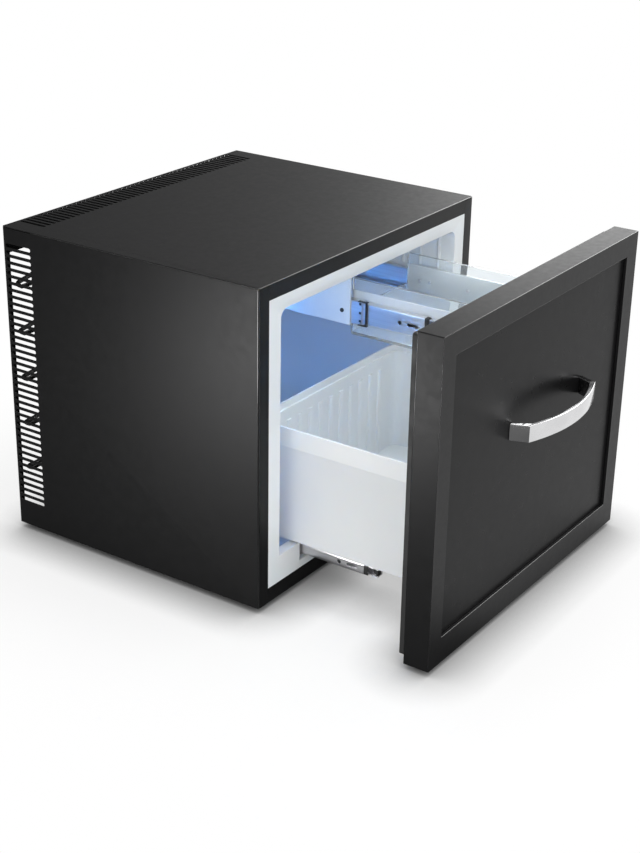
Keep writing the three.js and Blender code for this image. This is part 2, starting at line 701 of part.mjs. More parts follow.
// Angle bracket that stands on the liner's floor behind the sill and holds a lower slide
function floorBracket(side) {
  const face = LOWER_SLIDE_X + FIT;
  const along = [SILL_BACK + FIT, SLIDE_BACK];
  const foot = LINER_FLOOR + FIT;
  const wallX = [side * face, side * (face + BRACKET_SHEET)].sort((a, b) => a - b);
  const footX = [side * face, side * (face + BRACKET_FOOT)].sort((a, b) => a - b);
  return block(wallX, along, [foot, LOWER_SLIDE_BOTTOM + LOWER_SLIDE_HEIGHT]).add(
    block(footX, along, [foot, foot + BRACKET_SHEET]),
  );
}

// Angle under the bin that carries it on the inner member of a lower slide
function binCarrier(side) {
  const face = LOWER_SLIDE_X - SLIDE_THICKNESS - FIT;
  const along = [LOWER_INNER_FRONT, BIN_BACK];
  const top = BIN_BOTTOM - FIT;
  const wallX = [side * face, side * (face - BRACKET_SHEET)].sort((a, b) => a - b);
  const shelfX = [side * face, side * (face - BRACKET_FOOT)].sort((a, b) => a - b);
  const step = 2 * (SLIDE_SHEET + RUNNING_GAP);
  return block(wallX, along, [LOWER_SLIDE_BOTTOM + step, top]).add(
    block(shelfX, along, [top - BRACKET_SHEET, top]),
  );
}

// Plate hung from the ceiling that carries the left slide of the tray
function trayHanger() {
  const ceiling = MOUTH_TOP - FIT;
  const along = [FRONT_Y + HANGER_SET_BACK, SLIDE_BACK];
  return block([HANGER_FACE - HANGER_SHEET, HANGER_FACE], along, [MOUTH_TOP - HANGER_DROP, ceiling]).add(
    block([HANGER_FACE - HANGER_FLANGE, HANGER_FACE], along, [ceiling - HANGER_SHEET, ceiling]),
  );
}

// Drawer front: a shell with a raised border round a recess, an insert, a foam core and an inner panel
const RECESS_X = [BORDER_SIDE - HALF_WIDTH, HALF_WIDTH - BORDER_SIDE];
const RECESS_Z = [FRONT_BOTTOM + BORDER_BOTTOM, FRONT_TOP - BORDER_TOP];

function frontShell() {
  const width = [-HALF_WIDTH, HALF_WIDTH];
  const height = [FRONT_BOTTOM, FRONT_TOP];
  const depth = [FRONT_FACE, FRONT_BACK];
  const slab = alongY(rounded(width, height, FRONT_EDGE), depth, 3);
  const hollowX = grown(width, -FRONT_SKIN);
  const hollowZ = grown(height, -FRONT_SKIN);
  const hollow = block(hollowX, [FRONT_FACE + FRONT_SKIN, FRONT_BACK + OVERCUT], hollowZ);
  const lipY = [FRONT_FACE + FRONT_SKIN / 2, INSERT_FACE];
  const lip = block(grown(RECESS_X, FRONT_SKIN), lipY, grown(RECESS_Z, FRONT_SKIN));
  const window = block(RECESS_X, grown([FRONT_FACE, INSERT_FACE], OVERCUT), RECESS_Z);
  return slab.subtract(hollow).add(lip).subtract(window);
}

function frontInsert() {
  const front = INSERT_FACE + FIT;
  return block(grown(RECESS_X, INSERT_LAP), [front, front + INSERT_THICKNESS], grown(RECESS_Z, INSERT_LAP));
}

function behindShell(depth) {
  const inset = -FRONT_SKIN - FIT;
  return block(grown([-HALF_WIDTH, HALF_WIDTH], inset), depth, grown([FRONT_BOTTOM, FRONT_TOP], inset));
}

// Gasket: a bulb on a narrower neck, right round the inner panel
function gasket() {
  const ring = (inset, width, depth) => {
    const outerX = grown([-HALF_WIDTH, HALF_WIDTH], -inset);
    const outerZ = grown([FRONT_BOTTOM, FRONT_TOP], -inset);
    const inner = rounded(grown(outerX, -width), grown(outerZ, -width), GASKET_RADIUS);
    return alongY(frameShape(rounded(outerX, outerZ, GASKET_RADIUS), inner), depth, 2);
  };
  const start = FRONT_BACK + FIT;
  const neckInset = GASKET_INSET + (GASKET_WIDTH - GASKET_NECK) / 2;
  const neck = ring(neckInset, GASKET_NECK, [start, start + GASKET_NECK_DEPTH + FIT]);
  return neck.add(ring(GASKET_INSET, GASKET_WIDTH, [start + GASKET_NECK_DEPTH, FRONT_Y - FIT]));
}

// Handle: an arched band on two upright feet, one bent strip seen from above
function handle() {
  const half = HANDLE_CENTRES / 2;
  const outerFoot = half + HANDLE_FOOT / 2;
  const innerFoot = half - HANDLE_FOOT / 2;
  const innerShoulder = HANDLE_SHOULDER - HANDLE_BAND;
  const innerReach = HANDLE_REACH - HANDLE_BAND;
  const shape = new THREE.Shape();
  shape.moveTo(-outerFoot, 0);
  shape.lineTo(-innerFoot, 0);
  shape.lineTo(HANDLE_LEAN - innerFoot, innerShoulder);
  shape.quadraticCurveTo(0, 2 * innerReach - innerShoulder, innerFoot - HANDLE_LEAN, innerShoulder);
  shape.lineTo(innerFoot, 0);
  shape.lineTo(outerFoot, 0);
  shape.lineTo(outerFoot - HANDLE_LEAN, HANDLE_SHOULDER);
  shape.quadraticCurveTo(0, 2 * HANDLE_REACH - HANDLE_SHOULDER, HANDLE_LEAN - outerFoot, HANDLE_SHOULDER);
  const strip = new THREE.ExtrudeGeometry(shape, {
    depth: HANDLE_HEIGHT - 2 * HANDLE_EDGE,
    bevelSize: HANDLE_EDGE,
    bevelThickness: HANDLE_EDGE,
    bevelOffset: -HANDLE_EDGE,
    bevelSegments: 2,
    curveSegments: 20,
  });
  strip.rotateX(Math.PI);
  const top = FRONT_TOP - HANDLE_TO_TOP + HANDLE_HEIGHT / 2 - HANDLE_EDGE;
  return solidOf(strip.translate(HANDLE_OFFSET, INSERT_FACE, top));
}

// Bin: a moulded box with a proud rim, a ledge inside it and rounded flutes down its back wall
function drawerBin() {
  const bodyX = [BIN_RIM_PROUD - BIN_X, BIN_X - BIN_RIM_PROUD];
  const bodyY = [BIN_FRONT + BIN_RIM_PROUD, BIN_BACK - BIN_RIM_PROUD];
  const rim = rounded([-BIN_X, BIN_X], [BIN_FRONT, BIN_BACK], BIN_RADIUS + BIN_RIM_PROUD);
  const hollowX = grown(bodyX, -BIN_WALL);
  const hollowY = grown(bodyY, -BIN_WALL);
  const hollow = rounded(hollowX, hollowY, BIN_RADIUS - BIN_WALL);
  const lipX = grown([-BIN_X, BIN_X], -BIN_WALL);
  const lipY = grown([BIN_FRONT, BIN_BACK], -BIN_WALL);
  const lip = rounded(lipX, lipY, BIN_RADIUS + BIN_RIM_PROUD - BIN_WALL);
  const flutes = Math.floor((hollowX[1] - BIN_RADIUS) / FLUTE_PITCH);
  const ribs = [];
  for (let i = -flutes; i <= flutes; i++) {
    ribs.push(oval(i * FLUTE_PITCH, hollowY[1], FLUTE_WIDTH / 2, FLUTE_DEPTH));
  }
  return alongZ(rounded(bodyX, bodyY, BIN_RADIUS), [BIN_BOTTOM, BIN_TOP - BIN_RIM_HEIGHT / 2])
    .add(alongZ(rim, [BIN_TOP - BIN_RIM_HEIGHT, BIN_TOP]))
    .subtract(alongZ(hollow, [BIN_BOTTOM + BIN_WALL, BIN_TOP + OVERCUT]))
    .subtract(alongZ(lip, [BIN_TOP - BIN_LIP_HEIGHT, BIN_TOP + OVERCUT]))
    .add(alongZ(ribs, [BIN_BOTTOM + BIN_WALL / 2, BIN_TOP - BIN_RIM_HEIGHT], 4));
}

// Tray: a clear trough with a thicker rail along each side and low ends
function snackTray() {
  const along = [TRAY_FRONT, BIN_BACK];
  const across = [TRAY_LEFT, TRAY_RIGHT];
  const rails = grown(across, SIDE_PLATE);
  const railBottom = TRAY_TOP - TRAY_RAIL_HEIGHT;
  const trough = alongZ(rounded(across, along, TRAY_RADIUS), [TRAY_BOTTOM, TRAY_TOP], 3);
  const hollow = rounded(grown(across, -TRAY_WALL), grown(along, -TRAY_WALL), TRAY_RADIUS - TRAY_WALL);
  const endsZ = [TRAY_BOTTOM + TRAY_END_HEIGHT, TRAY_TOP + OVERCUT];
  const ends = block(grown(rails, OVERCUT), grown(along, OVERCUT), endsZ).subtract(
    block(grown(rails, 2 * OVERCUT), grown(along, -TRAY_RADIUS), grown(endsZ, OVERCUT)),
  );
  return trough
    .add(block(rails, grown(along, -TRAY_RADIUS), [railBottom, TRAY_TOP]))
    .subtract(alongZ(hollow, [TRAY_BOTTOM + TRAY_WALL, TRAY_TOP + OVERCUT], 3))
    .subtract(ends);
}

// Steel plate between a tray wall and the slide beside it
function trayPlate(side) {
  const face = side < 0 ? TRAY_LEFT : TRAY_RIGHT;
  const across = [face + side * FIT, face + side * (FIT + SIDE_PLATE)].sort((a, b) => a - b);
  const along = grown([TRAY_FRONT, BIN_BACK], -TRAY_RADIUS);
  return block(across, along, [SIDE_PLATE_BOTTOM, TRAY_TOP - TRAY_RAIL_HEIGHT - FIT]);
}

// Angle from the drawer front to the underside of the tray
function trayStay() {
  const across = centred((TRAY_LEFT + TRAY_RIGHT) / 2, STAY_WIDTH);
  const front = FRONT_BACK + FIT;
  const top = TRAY_BOTTOM - FIT;
  return block(across, [front, front + BRACKET_SHEET], [BIN_TOP + STAY_TO_BIN, top]).add(
    block(across, [front, front + STAY_LENGTH], [top - BRACKET_SHEET, top]),
  );
}

place(cabinet, "left_side_panel", BLACK_PAINT, sidePanel(-1));
place(cabinet, "right_side_panel", BLACK_PAINT, sidePanel(1));
place(cabinet, "top_panel", BLACK_PAINT, topPanel());
place(cabinet, "base_panel", BLACK_PAINT, basePanel());
place(cabinet, "rear_bulkhead", BLACK_PAINT, rearBulkhead());
place(cabinet, "inner_liner", WHITE_PLASTIC, innerLiner());
place(cabinet, "insulation_foam", FOAM, insulationFoam());
const footX = HALF_WIDTH - FOOT_INSET;
const footY = BACK_Y - FOOT_INSET;
place(cabinet, "front_left_foot", BLACK_RUBBER, foot(-footX, -footY));
place(cabinet, "front_right_foot", BLACK_RUBBER, foot(footX, -footY));
place(cabinet, "rear_left_foot", BLACK_RUBBER, foot(-footX, footY));
place(cabinet, "rear_right_foot", BLACK_RUBBER, foot(footX, footY));

const coldX = centred(0, COLD_BLOCK_SIZE);
const coldDepth = [CAVITY_BACK, PELTIER_FRONT - FIT];
place(cabinet, "cold_sink", ALUMINIUM, coldSink());
place(cabinet, "cold_block", ALUMINIUM, block(coldX, coldDepth, centred(COOLER_Z, COLD_BLOCK_SIZE)));
const moduleX = centred(0, PELTIER_SIZE);
const moduleY = [PELTIER_FRONT, PELTIER_FRONT + PELTIER_THICKNESS];
place(cabinet, "peltier_module", CERAMIC, block(moduleX, moduleY, centred(COOLER_Z, PELTIER_SIZE)));
const plateX = centred(0, HOT_PLATE_WIDTH);
const plateY = [HOT_PLATE_FRONT, HOT_PLATE_BACK];
place(cabinet, "hot_plate", ALUMINIUM, block(plateX, plateY, centred(COOLER_Z, HOT_PLATE_HEIGHT)));
const winding = coilPoints();
place(cabinet, "condenser_coil", COIL_PAINT, tubeAlong(winding, COIL_TUBE / 2, COIL_SIDES));
console.log(`least gap between coil turns: ${leastGap(winding, COIL_TUBE, 1.5 * BEND_STEPS).toFixed(1)} mm`);
place(cabinet, "power_supply", BLACK_PLASTIC, powerSupply());
place(cabinet, "mains_inlet", BLACK_PLASTIC, mainsInlet());

place(cabinet, "lamp_housing", WHITE_PLASTIC, lampHousing());
place(cabinet, "lamp_lens", LENS, lampLens());
place(cabinet, "tray_hanger", WHITE_METAL, trayHanger());
place(cabinet, "left_floor_bracket", ZINC, floorBracket(-1));
place(cabinet, "right_floor_bracket", ZINC, floorBracket(1));

for (const [name, slide] of Object.entries(SLIDES)) {
  const { outer, middle, stop, inner } = slideMembers(slide);
  place(cabinet, `${name}_slide_outer`, ZINC, outer);
  place(middles, `${name}_slide_middle`, ZINC, middle);
  place(middles, `${name}_slide_stop`, BLACK_PLASTIC, stop);
  place(drawer, `${name}_slide_inner`, ZINC, inner);
}

const insertBack = INSERT_FACE + 2 * FIT + INSERT_THICKNESS;
const innerPanelFront = FRONT_BACK - INNER_PANEL_THICKNESS;
place(drawer, "front_shell", BLACK_PAINT, frontShell());
place(drawer, "front_insert", BLACK_INSERT, frontInsert());
place(drawer, "front_foam", FOAM, behindShell([insertBack, innerPanelFront - FIT]));
place(drawer, "front_inner_panel", WHITE_PLASTIC, behindShell([innerPanelFront, FRONT_BACK]));
place(drawer, "door_gasket", BLACK_RUBBER, gasket());
place(drawer, "handle", CHROME, handle());
place(drawer, "drawer_bin", WHITE_PLASTIC, drawerBin());
place(drawer, "left_bin_carrier", ZINC, binCarrier(-1));
place(drawer, "right_bin_carrier", ZINC, binCarrier(1));
place(drawer, "snack_tray", ACRYLIC, snackTray());
place(drawer, "tray_left_plate", WHITE_METAL, trayPlate(-1));
place(drawer, "tray_right_plate", WHITE_METAL, trayPlate(1));
place(drawer, "tray_stay", WHITE_METAL, trayStay());

export default minibar;
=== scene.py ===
import json
import math

import bmesh
import bpy
from mathutils import Matrix, Vector


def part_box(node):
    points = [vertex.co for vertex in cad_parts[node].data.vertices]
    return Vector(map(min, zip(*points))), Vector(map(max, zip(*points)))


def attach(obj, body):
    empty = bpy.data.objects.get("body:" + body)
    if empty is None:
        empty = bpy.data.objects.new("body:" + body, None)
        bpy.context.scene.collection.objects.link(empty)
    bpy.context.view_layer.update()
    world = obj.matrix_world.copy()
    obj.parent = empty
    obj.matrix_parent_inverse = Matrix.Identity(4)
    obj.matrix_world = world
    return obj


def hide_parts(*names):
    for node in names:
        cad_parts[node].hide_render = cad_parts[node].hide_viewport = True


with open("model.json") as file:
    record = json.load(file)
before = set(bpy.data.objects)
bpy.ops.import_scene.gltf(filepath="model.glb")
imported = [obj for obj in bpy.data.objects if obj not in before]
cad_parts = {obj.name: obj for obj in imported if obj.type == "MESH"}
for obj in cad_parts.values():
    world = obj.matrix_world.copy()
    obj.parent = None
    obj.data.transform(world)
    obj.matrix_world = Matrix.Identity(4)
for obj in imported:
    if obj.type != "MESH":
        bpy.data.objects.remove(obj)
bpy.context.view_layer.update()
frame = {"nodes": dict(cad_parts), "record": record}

MM = 0.001
NODES = frame["nodes"]
SLIDES = ("lower_left", "lower_right", "upper_left", "upper_right")
SLOT_OF = {part["node"]: part["material_slot"] for part in frame["record"]["subparts"]}
BODY_OF = {
    node: body
    for body, nodes in frame["record"]["behaviour"]["bodies"].items()
    for node in nodes
}


def add_object(name, data):
    made = bpy.data.objects.new(name, data)
    bpy.context.scene.collection.objects.link(made)
    return made


# Camera: fitted to the edges of the case, in a frame of 640 by 853
CAMERA_PLACE = Vector((-1.6721, -1.12035, 1.0396))
CAMERA_RIGHT = Vector((0.5684, -0.8226, 0.0169))
CAMERA_UP = Vector((0.3227, 0.2419, 0.9150))
CAMERA_BACK = Vector((-0.7568, -0.5147, 0.4029))
CAMERA_LENS = 69.23
CAMERA_SENSOR = 36.0


def make_camera():
    data = bpy.data.cameras.new("camera")
    data.lens = CAMERA_LENS
    data.sensor_width = CAMERA_SENSOR
    data.sensor_fit = "AUTO"
    data.dof.use_dof = False
    camera = add_object("camera", data)
    axes = Matrix((CAMERA_RIGHT, CAMERA_UP, CAMERA_BACK)).transposed()
    camera.matrix_world = Matrix.Translation(CAMERA_PLACE) @ axes.to_4x4()
    bpy.context.scene.camera = camera


make_camera()


# Shader nodes
class ShaderTree:
    """The nodes and links of a material or world, with helpers that add to them."""

    def __init__(self, tree):
        self.nodes = tree.nodes
        self.links = tree.links

    def feed(self, socket, source):
        """Links a socket to another node's output, or sets it to a plain value."""
        if isinstance(source, bpy.types.NodeSocket):
            self.links.new(source, socket)
        else:
            socket.default_value = source

    def node(self, kind, inputs=None, **settings):
        made = self.nodes.new(kind)
        for key, value in settings.items():
            setattr(made, key, value)
        for key, source in (inputs or {}).items():
            self.feed(made.inputs[key], source)
        return made

    def combine(self, operation, one, other):
        made = self.node("ShaderNodeMath", {0: one, 1: other}, operation=operation)
        return made.outputs["Value"]

    def vector(self, operation, *sources):
        inputs = dict(enumerate(sources))
        made = self.node("ShaderNodeVectorMath", inputs, operation=operation)
        return made.outputs["Value" if operation in ("LENGTH", "DOT_PRODUCT") else "Vector"]

    def ranged(self, source, from_range, to_range, interpolation="LINEAR"):
        """A value carried from one range to another, and held at its ends."""
        inputs = {
            "Value": source,
            "From Min": from_range[0],
            "From Max": from_range[1],
            "To Min": to_range[0],
            "To Max": to_range[1],
        }
        made = self.node("ShaderNodeMapRange", inputs, interpolation_type=interpolation)
        return made.outputs["Result"]

    def choose(self, factor, plain, other):
        """A plain value where the factor is zero, and the other where it is one."""
        made = self.node("ShaderNodeMix", {0: factor, 2: plain, 3: other})
        return made.outputs[0]

    def mix_shaders(self, factor, first, second):
        made = self.node("ShaderNodeMixShader", {0: factor, 1: first, 2: second})
        return made.outputs["Shader"]


# Materials
NOISE_SPAN = (0.3, 0.7)
NOISE_ROUGHNESS = 0.55
GRAIN = 0.1 * MM


class Finish(ShaderTree):
    """A procedural material: a principled shader and the nodes that feed it."""

    def __init__(self, name, color, roughness, metallic=0.0):
        self.material = bpy.data.materials.new(name)
        self.material.use_nodes = True
        super().__init__(self.material.node_tree)
        self.shader = self.nodes["Principled BSDF"]
        self.set("Base Color", (*color, 1.0))
        self.set("Roughness", roughness)
        self.set("Metallic", metallic)
        self.place = self.node("ShaderNodeTexCoord").outputs["Object"]

    def set(self, socket, source):
        self.feed(self.shader.inputs[socket], source)

    def noise(self, scale, stretch=(1, 1, 1), detail=3.0):
        """Noise in object space, its grain stretched along an axis by a small factor there."""
        mapping = self.node("ShaderNodeMapping", {"Vector": self.place, "Scale": stretch})
        inputs = {
            "Vector": mapping.outputs["Vector"],
            "Scale": scale,
            "Detail": detail,
            "Roughness": NOISE_ROUGHNESS,
        }
        return self.node("ShaderNodeTexNoise", inputs).outputs["Fac"]

    def vary_roughness(self, source, low, high):
        self.set("Roughness", self.ranged(source, NOISE_SPAN, (low, high)))

    def vary_color(self, source, dark, light):
        ramp = self.node("ShaderNodeValToRGB", {"Fac": source})
        for element, position, color in zip(ramp.color_ramp.elements, NOISE_SPAN, (dark, light)):
            element.position = position
            element.color = (*color, 1.0)
        self.set("Base Color", ramp.outputs["Color"])

    def bump(self, source, strength, distance=GRAIN):
        inputs = {"Height": source, "Strength": strength, "Distance": distance}
        self.set("Normal", self.node("ShaderNodeBump", inputs).outputs["Normal"])

    def let_light_through(self):
        """Shadow rays pass straight on, so that what lies behind is lit."""
        shadow = self.node("ShaderNodeLightPath").outputs["Is Shadow Ray"]
        clear = self.node("ShaderNodeBsdfTransparent").outputs["BSDF"]
        both = self.mix_shaders(shadow, self.shader.outputs["BSDF"], clear)
        self.feed(self.nodes["Material Output"].inputs["Surface"], both)


def grey(value, tint=0.0):
    return (value, value, value * (1 + tint))


BLACK_TINT = 0.04
BLACK = grey(0.008, BLACK_TINT)
BLACK_SHADES = (grey(0.0074, BLACK_TINT), grey(0.0086, BLACK_TINT))


def black_paint():
    made = Finish("black_paint", BLACK, roughness=0.43)
    made.vary_color(made.noise(scale=60.0), *BLACK_SHADES)
    made.vary_roughness(made.noise(scale=120.0, detail=5.0), low=0.40, high=0.46)
    made.bump(made.noise(scale=700.0, detail=1.0), strength=0.012)
    made.set("Specular IOR Level", 0.18)
    return made.material


def edge_paint():
    """The paint where it has flowed smooth over a folded edge."""
    made = Finish("edge_paint", BLACK, roughness=0.13)
    made.vary_color(made.noise(scale=60.0), *BLACK_SHADES)
    made.vary_roughness(made.noise(scale=120.0, detail=5.0), low=0.10, high=0.16)
    made.set("Specular IOR Level", 1.0)
    return made.material


def black_insert():
    made = Finish("black_insert", BLACK, roughness=0.3)
    made.vary_color(made.noise(scale=50.0), *BLACK_SHADES)
    made.vary_roughness(made.noise(scale=90.0, detail=5.0), low=0.27, high=0.33)
    made.bump(made.noise(scale=700.0, detail=1.0), strength=0.006)
    made.set("Specular IOR Level", 0.07)
    return made.material


def white_plastic():
    made = Finish("white_plastic", (0.80, 0.82, 0.83), roughness=0.34)
    made.vary_color(made.noise(scale=7.0), dark=(0.78, 0.80, 0.815), light=(0.82, 0.835, 0.84))
    made.vary_roughness(made.noise(scale=20.0, detail=4.0), low=0.30, high=0.40)
    made.bump(made.noise(scale=700.0, detail=2.0), strength=0.04)
    made.set("Subsurface Weight", 0.05)
    return made.material


def white_metal():
    made = Finish("white_metal", (0.66, 0.68, 0.69), roughness=0.4)
    made.vary_color(made.noise(scale=12.0), dark=(0.63, 0.65, 0.66), light=(0.69, 0.71, 0.72))
    made.vary_roughness(made.noise(scale=25.0), low=0.34, high=0.46)
    made.bump(made.noise(scale=1100.0, detail=2.0), strength=0.08)
    return made.material


def foam():
    made = Finish("foam", (0.72, 0.62, 0.36), roughness=0.95)
    made.vary_color(made.noise(scale=120.0), dark=(0.64, 0.54, 0.30), light=(0.78, 0.69, 0.43))
    made.bump(made.noise(scale=400.0, detail=6.0), strength=0.6, distance=0.8 * MM)
    return made.material


def zinc_steel():
    tint = 0.03
    made = Finish("zinc_steel", grey(0.74, tint), roughness=0.33, metallic=1.0)
    streaks = made.noise(scale=420.0, stretch=(1.0, 0.02, 1.0))
    made.vary_color(streaks, dark=grey(0.68, tint), light=grey(0.80, tint))
    made.vary_roughness(made.noise(scale=160.0, stretch=(1.0, 0.03, 1.0)), low=0.28, high=0.40)
    made.bump(streaks, strength=0.06)
    return made.material


def aluminium():
    made = Finish("aluminium", grey(0.64), roughness=0.42, metallic=1.0)
    streaks = made.noise(scale=300.0, stretch=(1.0, 1.0, 0.03))
    made.vary_color(streaks, dark=grey(0.56), light=grey(0.70))
    made.vary_roughness(streaks, low=0.36, high=0.5)
    made.bump(streaks, strength=0.08)
    return made.material


def chrome():
    tint = 0.01
    made = Finish("chrome", grey(0.68, tint), roughness=0.17, metallic=1.0)
    clouds = made.noise(scale=40.0, detail=2.0)
    made.vary_color(clouds, dark=grey(0.65, tint), light=grey(0.71, tint))
    made.vary_roughness(clouds, low=0.14, high=0.2)
    return made.material


def black_rubber():
    made = Finish("black_rubber", grey(0.010), roughness=0.62)
    made.vary_color(made.noise(scale=30.0), dark=grey(0.008), light=grey(0.014))
    made.vary_roughness(made.noise(scale=60.0), low=0.54, high=0.72)
    made.bump(made.noise(scale=800.0), strength=0.1)
    return made.material


def black_plastic():
    made = Finish("black_plastic", grey(0.012), roughness=0.45)
    made.vary_color(made.noise(scale=40.0), dark=grey(0.010), light=grey(0.016))
    made.vary_roughness(made.noise(scale=80.0), low=0.38, high=0.52)
    made.bump(made.noise(scale=1600.0, detail=1.0), strength=0.15)
    return made.material


def coil_paint():
    made = Finish("coil_paint", grey(0.012), roughness=0.5)
    made.vary_color(made.noise(scale=60.0), dark=grey(0.009), light=grey(0.018))
    made.vary_roughness(made.noise(scale=90.0), low=0.42, high=0.6)
    made.bump(made.noise(scale=900.0), strength=0.1)
    return made.material


def ceramic():
    made = Finish("ceramic", (0.82, 0.82, 0.80), roughness=0.55)
    made.vary_color(made.noise(scale=200.0), dark=(0.76, 0.76, 0.74), light=(0.86, 0.86, 0.84))
    made.bump(made.noise(scale=900.0), strength=0.1, distance=0.05 * MM)
    return made.material


def clear_acrylic():
    made = Finish("clear_acrylic", (0.93, 0.97, 0.985), roughness=0.03)
    made.vary_roughness(made.noise(scale=30.0), low=0.015, high=0.05)
    made.set("Transmission Weight", 0.9)
    made.set("IOR", 1.49)
    made.let_light_through()
    return made.material


def lamp_lens():
    made = Finish("lamp_lens", (0.8, 0.9, 1.0), roughness=0.3)
    made.vary_color(made.noise(scale=50.0), dark=(0.74, 0.86, 1.0), light=(0.84, 0.93, 1.0))
    made.set("Emission Color", (0.6, 0.82, 1.0, 1.0))
    made.set("Emission Strength", 16.0)
    return made.material


MAKERS = (
    black_paint,
    edge_paint,
    black_insert,
    white_plastic,
    white_metal,
    foam,
    zinc_steel,
    aluminium,
    chrome,
    black_rubber,
    black_plastic,
    coil_paint,
    ceramic,
    clear_acrylic,
    lamp_lens,
)
MATERIALS = {maker.__name__: maker() for maker in MAKERS}


def new_piece(name, mesh, body, slot):
    piece = add_object(name, mesh)
    piece.data.materials.clear()
    piece.data.materials.append(MATERIALS[slot])
    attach(piece, body)
    return piece


# Pieces whose edges are broken by a fine bevel, with its width in millimetres
BEVELS = {
    "left_side_panel": 0.5,
    "right_side_panel": 0.5,
    "top_panel": 0.9,
    "base_panel": 0.3,
    "front_shell": 1.6,
    "front_insert": 0.4,
    "front_inner_panel": 0.5,
    "inner_liner": 0.8,
    "drawer_bin": 0.9,
    "handle": 0.5,
    "snack_tray": 0.5,
    "tray_left_plate": 0.3,
    "tray_right_plate": 0.3,
    "tray_hanger": 0.4,
    "tray_stay": 0.3,
    "lamp_housing": 1.0,
    "power_supply": 0.8,
    "mains_inlet": 0.4,
    "cold_sink": 0.3,
    "hot_plate": 0.5,
}
MEMBER_BEVEL = 0.2
STOP_BEVEL = 0.3
for slide in SLIDES:
    for member in ("outer", "middle", "inner"):
        BEVELS[f"{slide}_slide_{member}"] = MEMBER_BEVEL
    BEVELS[f"{slide}_slide_stop"] = STOP_BEVEL
BEVEL_SEGMENTS = 2
BEVEL_PROFILE = 0.5
SMOOTH_ANGLE = math.radians(32)
FLAT_ANGLE = math.radians(0.5)
# A face belongs to a fold where no part of its normal reaches this
FOLD_LIMIT = 0.98
# The place of the edge paint among the materials of a painted piece
EDGE_INDEX = 1
OUTLINE_INSET = 3.0 * MM
TOUCHING = 0.01 * MM


def clean_copy(node):
    """A node's mesh with its split corners welded and its flat faces joined up."""
    mesh = NODES[node].data.copy()
    work = bmesh.new()
    work.from_mesh(mesh)
    bmesh.ops.remove_doubles(work, verts=work.verts, dist=TOUCHING)
    bmesh.ops.dissolve_limit(work, angle_limit=FLAT_ANGLE, verts=work.verts, edges=work.edges)
    bmesh.ops.recalc_face_normals(work, faces=work.faces)
    work.to_mesh(mesh)
    work.free()
    mesh.shade_smooth()
    mesh.set_sharp_from_angle(angle=SMOOTH_ANGLE)
    return mesh


def smooth_edges(mesh):
    """Gives the folds of a painted sheet the smoother paint."""
    mesh.materials.append(MATERIALS["edge_paint"])
    for face in mesh.polygons:
        if max(abs(part) for part in face.normal) < FOLD_LIMIT:
            face.material_index = EDGE_INDEX


def weigh_outline(mesh):
    """Marks the edges around the upper face for the bevel, and leaves the slots as they are."""
    corners = [vertex.co for vertex in mesh.vertices]
    low = Vector([min(corner[axis] for corner in corners) for axis in range(3)])
    high = Vector([max(corner[axis] for corner in corners) for axis in range(3)])
    weights = mesh.attributes.new("bevel_weight_edge", "FLOAT", "EDGE")

    def on_outline(corner):
        from_sides = min(corner.x - low.x, high.x - corner.x)
        from_ends = min(corner.y - low.y, high.y - corner.y)
        at_top = high.z - corner.z < TOUCHING
        return at_top and min(from_sides, from_ends) < OUTLINE_INSET

    for edge in mesh.edges:
        if edge.use_edge_sharp and all(on_outline(corners[k]) for k in edge.vertices):
            weights.data[edge.index].value = 1.0


def dress(node, width):
    """A bevelled copy that takes the place of a node."""
    piece = new_piece(f"{node}_finished", clean_copy(node), BODY_OF[node], SLOT_OF[node])
    bevel = piece.modifiers.new("edges", "BEVEL")
    bevel.width = width * MM
    bevel.segments = BEVEL_SEGMENTS
    bevel.limit_method = "ANGLE"
    bevel.angle_limit = SMOOTH_ANGLE
    bevel.harden_normals = True
    if SLOT_OF[node] == "black_paint":
        smooth_edges(piece.data)
        bevel.material = EDGE_INDEX
    if node == "top_panel":
        weigh_outline(piece.data)
        bevel.limit_method = "WEIGHT"
        bevel.use_clamp_overlap = False
    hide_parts(node)


def paint(node):
    """A node that keeps its own mesh and takes the finish of its slot."""
    target = NODES[node]
    target.data.materials.clear()
    target.data.materials.append(MATERIALS[SLOT_OF[node]])


for name in NODES:
    if name in BEVELS:
        dress(name, BEVELS[name])
    else:
        paint(name)


# Small fittings that the solids leave out
def add_piece(name, work, body, slot):
    """A piece with the faces of a work mesh, which is freed."""
    mesh = bpy.data.meshes.new(name)
    work.to_mesh(mesh)
    work.free()
    new_piece(name, mesh, body, slot)


# A screw's rings as shares of its radius: how far across and how high
SCREW_RINGS = ((1.0, 0.0), (1.0, 0.24), (0.86, 0.44), (0.64, 0.54))
# The cross recess: an arm's end and the three points of the waist after it
RECESS_ACROSS = (0.5, 0.2, 0.2, 0.2)
RECESS_ARMS = 4
RECESS_FLOOR = 0.25
SCREW_SIDES = RECESS_ARMS * len(RECESS_ACROSS)
SCREW_RADIUS = 3.0 * MM


def ring(work, radii, height):
    corners = []
    for k in range(SCREW_SIDES):
        angle = 2 * math.pi * k / SCREW_SIDES
        radius = radii[k % len(radii)]
        corner = (radius * math.cos(angle), radius * math.sin(angle), height)
        corners.append(work.verts.new(corner))
    return corners


def bridge(work, rings):
    for lower, upper in zip(rings, rings[1:]):
        for k in range(len(lower)):
            after = (k + 1) % len(lower)
            work.faces.new((lower[k], lower[after], upper[after], upper[k]))


def cap(work, corners, height, outward):
    """A fan from a middle point, which a cross-shaped ring needs."""
    middle = work.verts.new((0, 0, height))
    for k, corner in enumerate(corners):
        after = corners[(k + 1) % len(corners)]
        work.faces.new((corner, after, middle) if outward else (after, corner, middle))


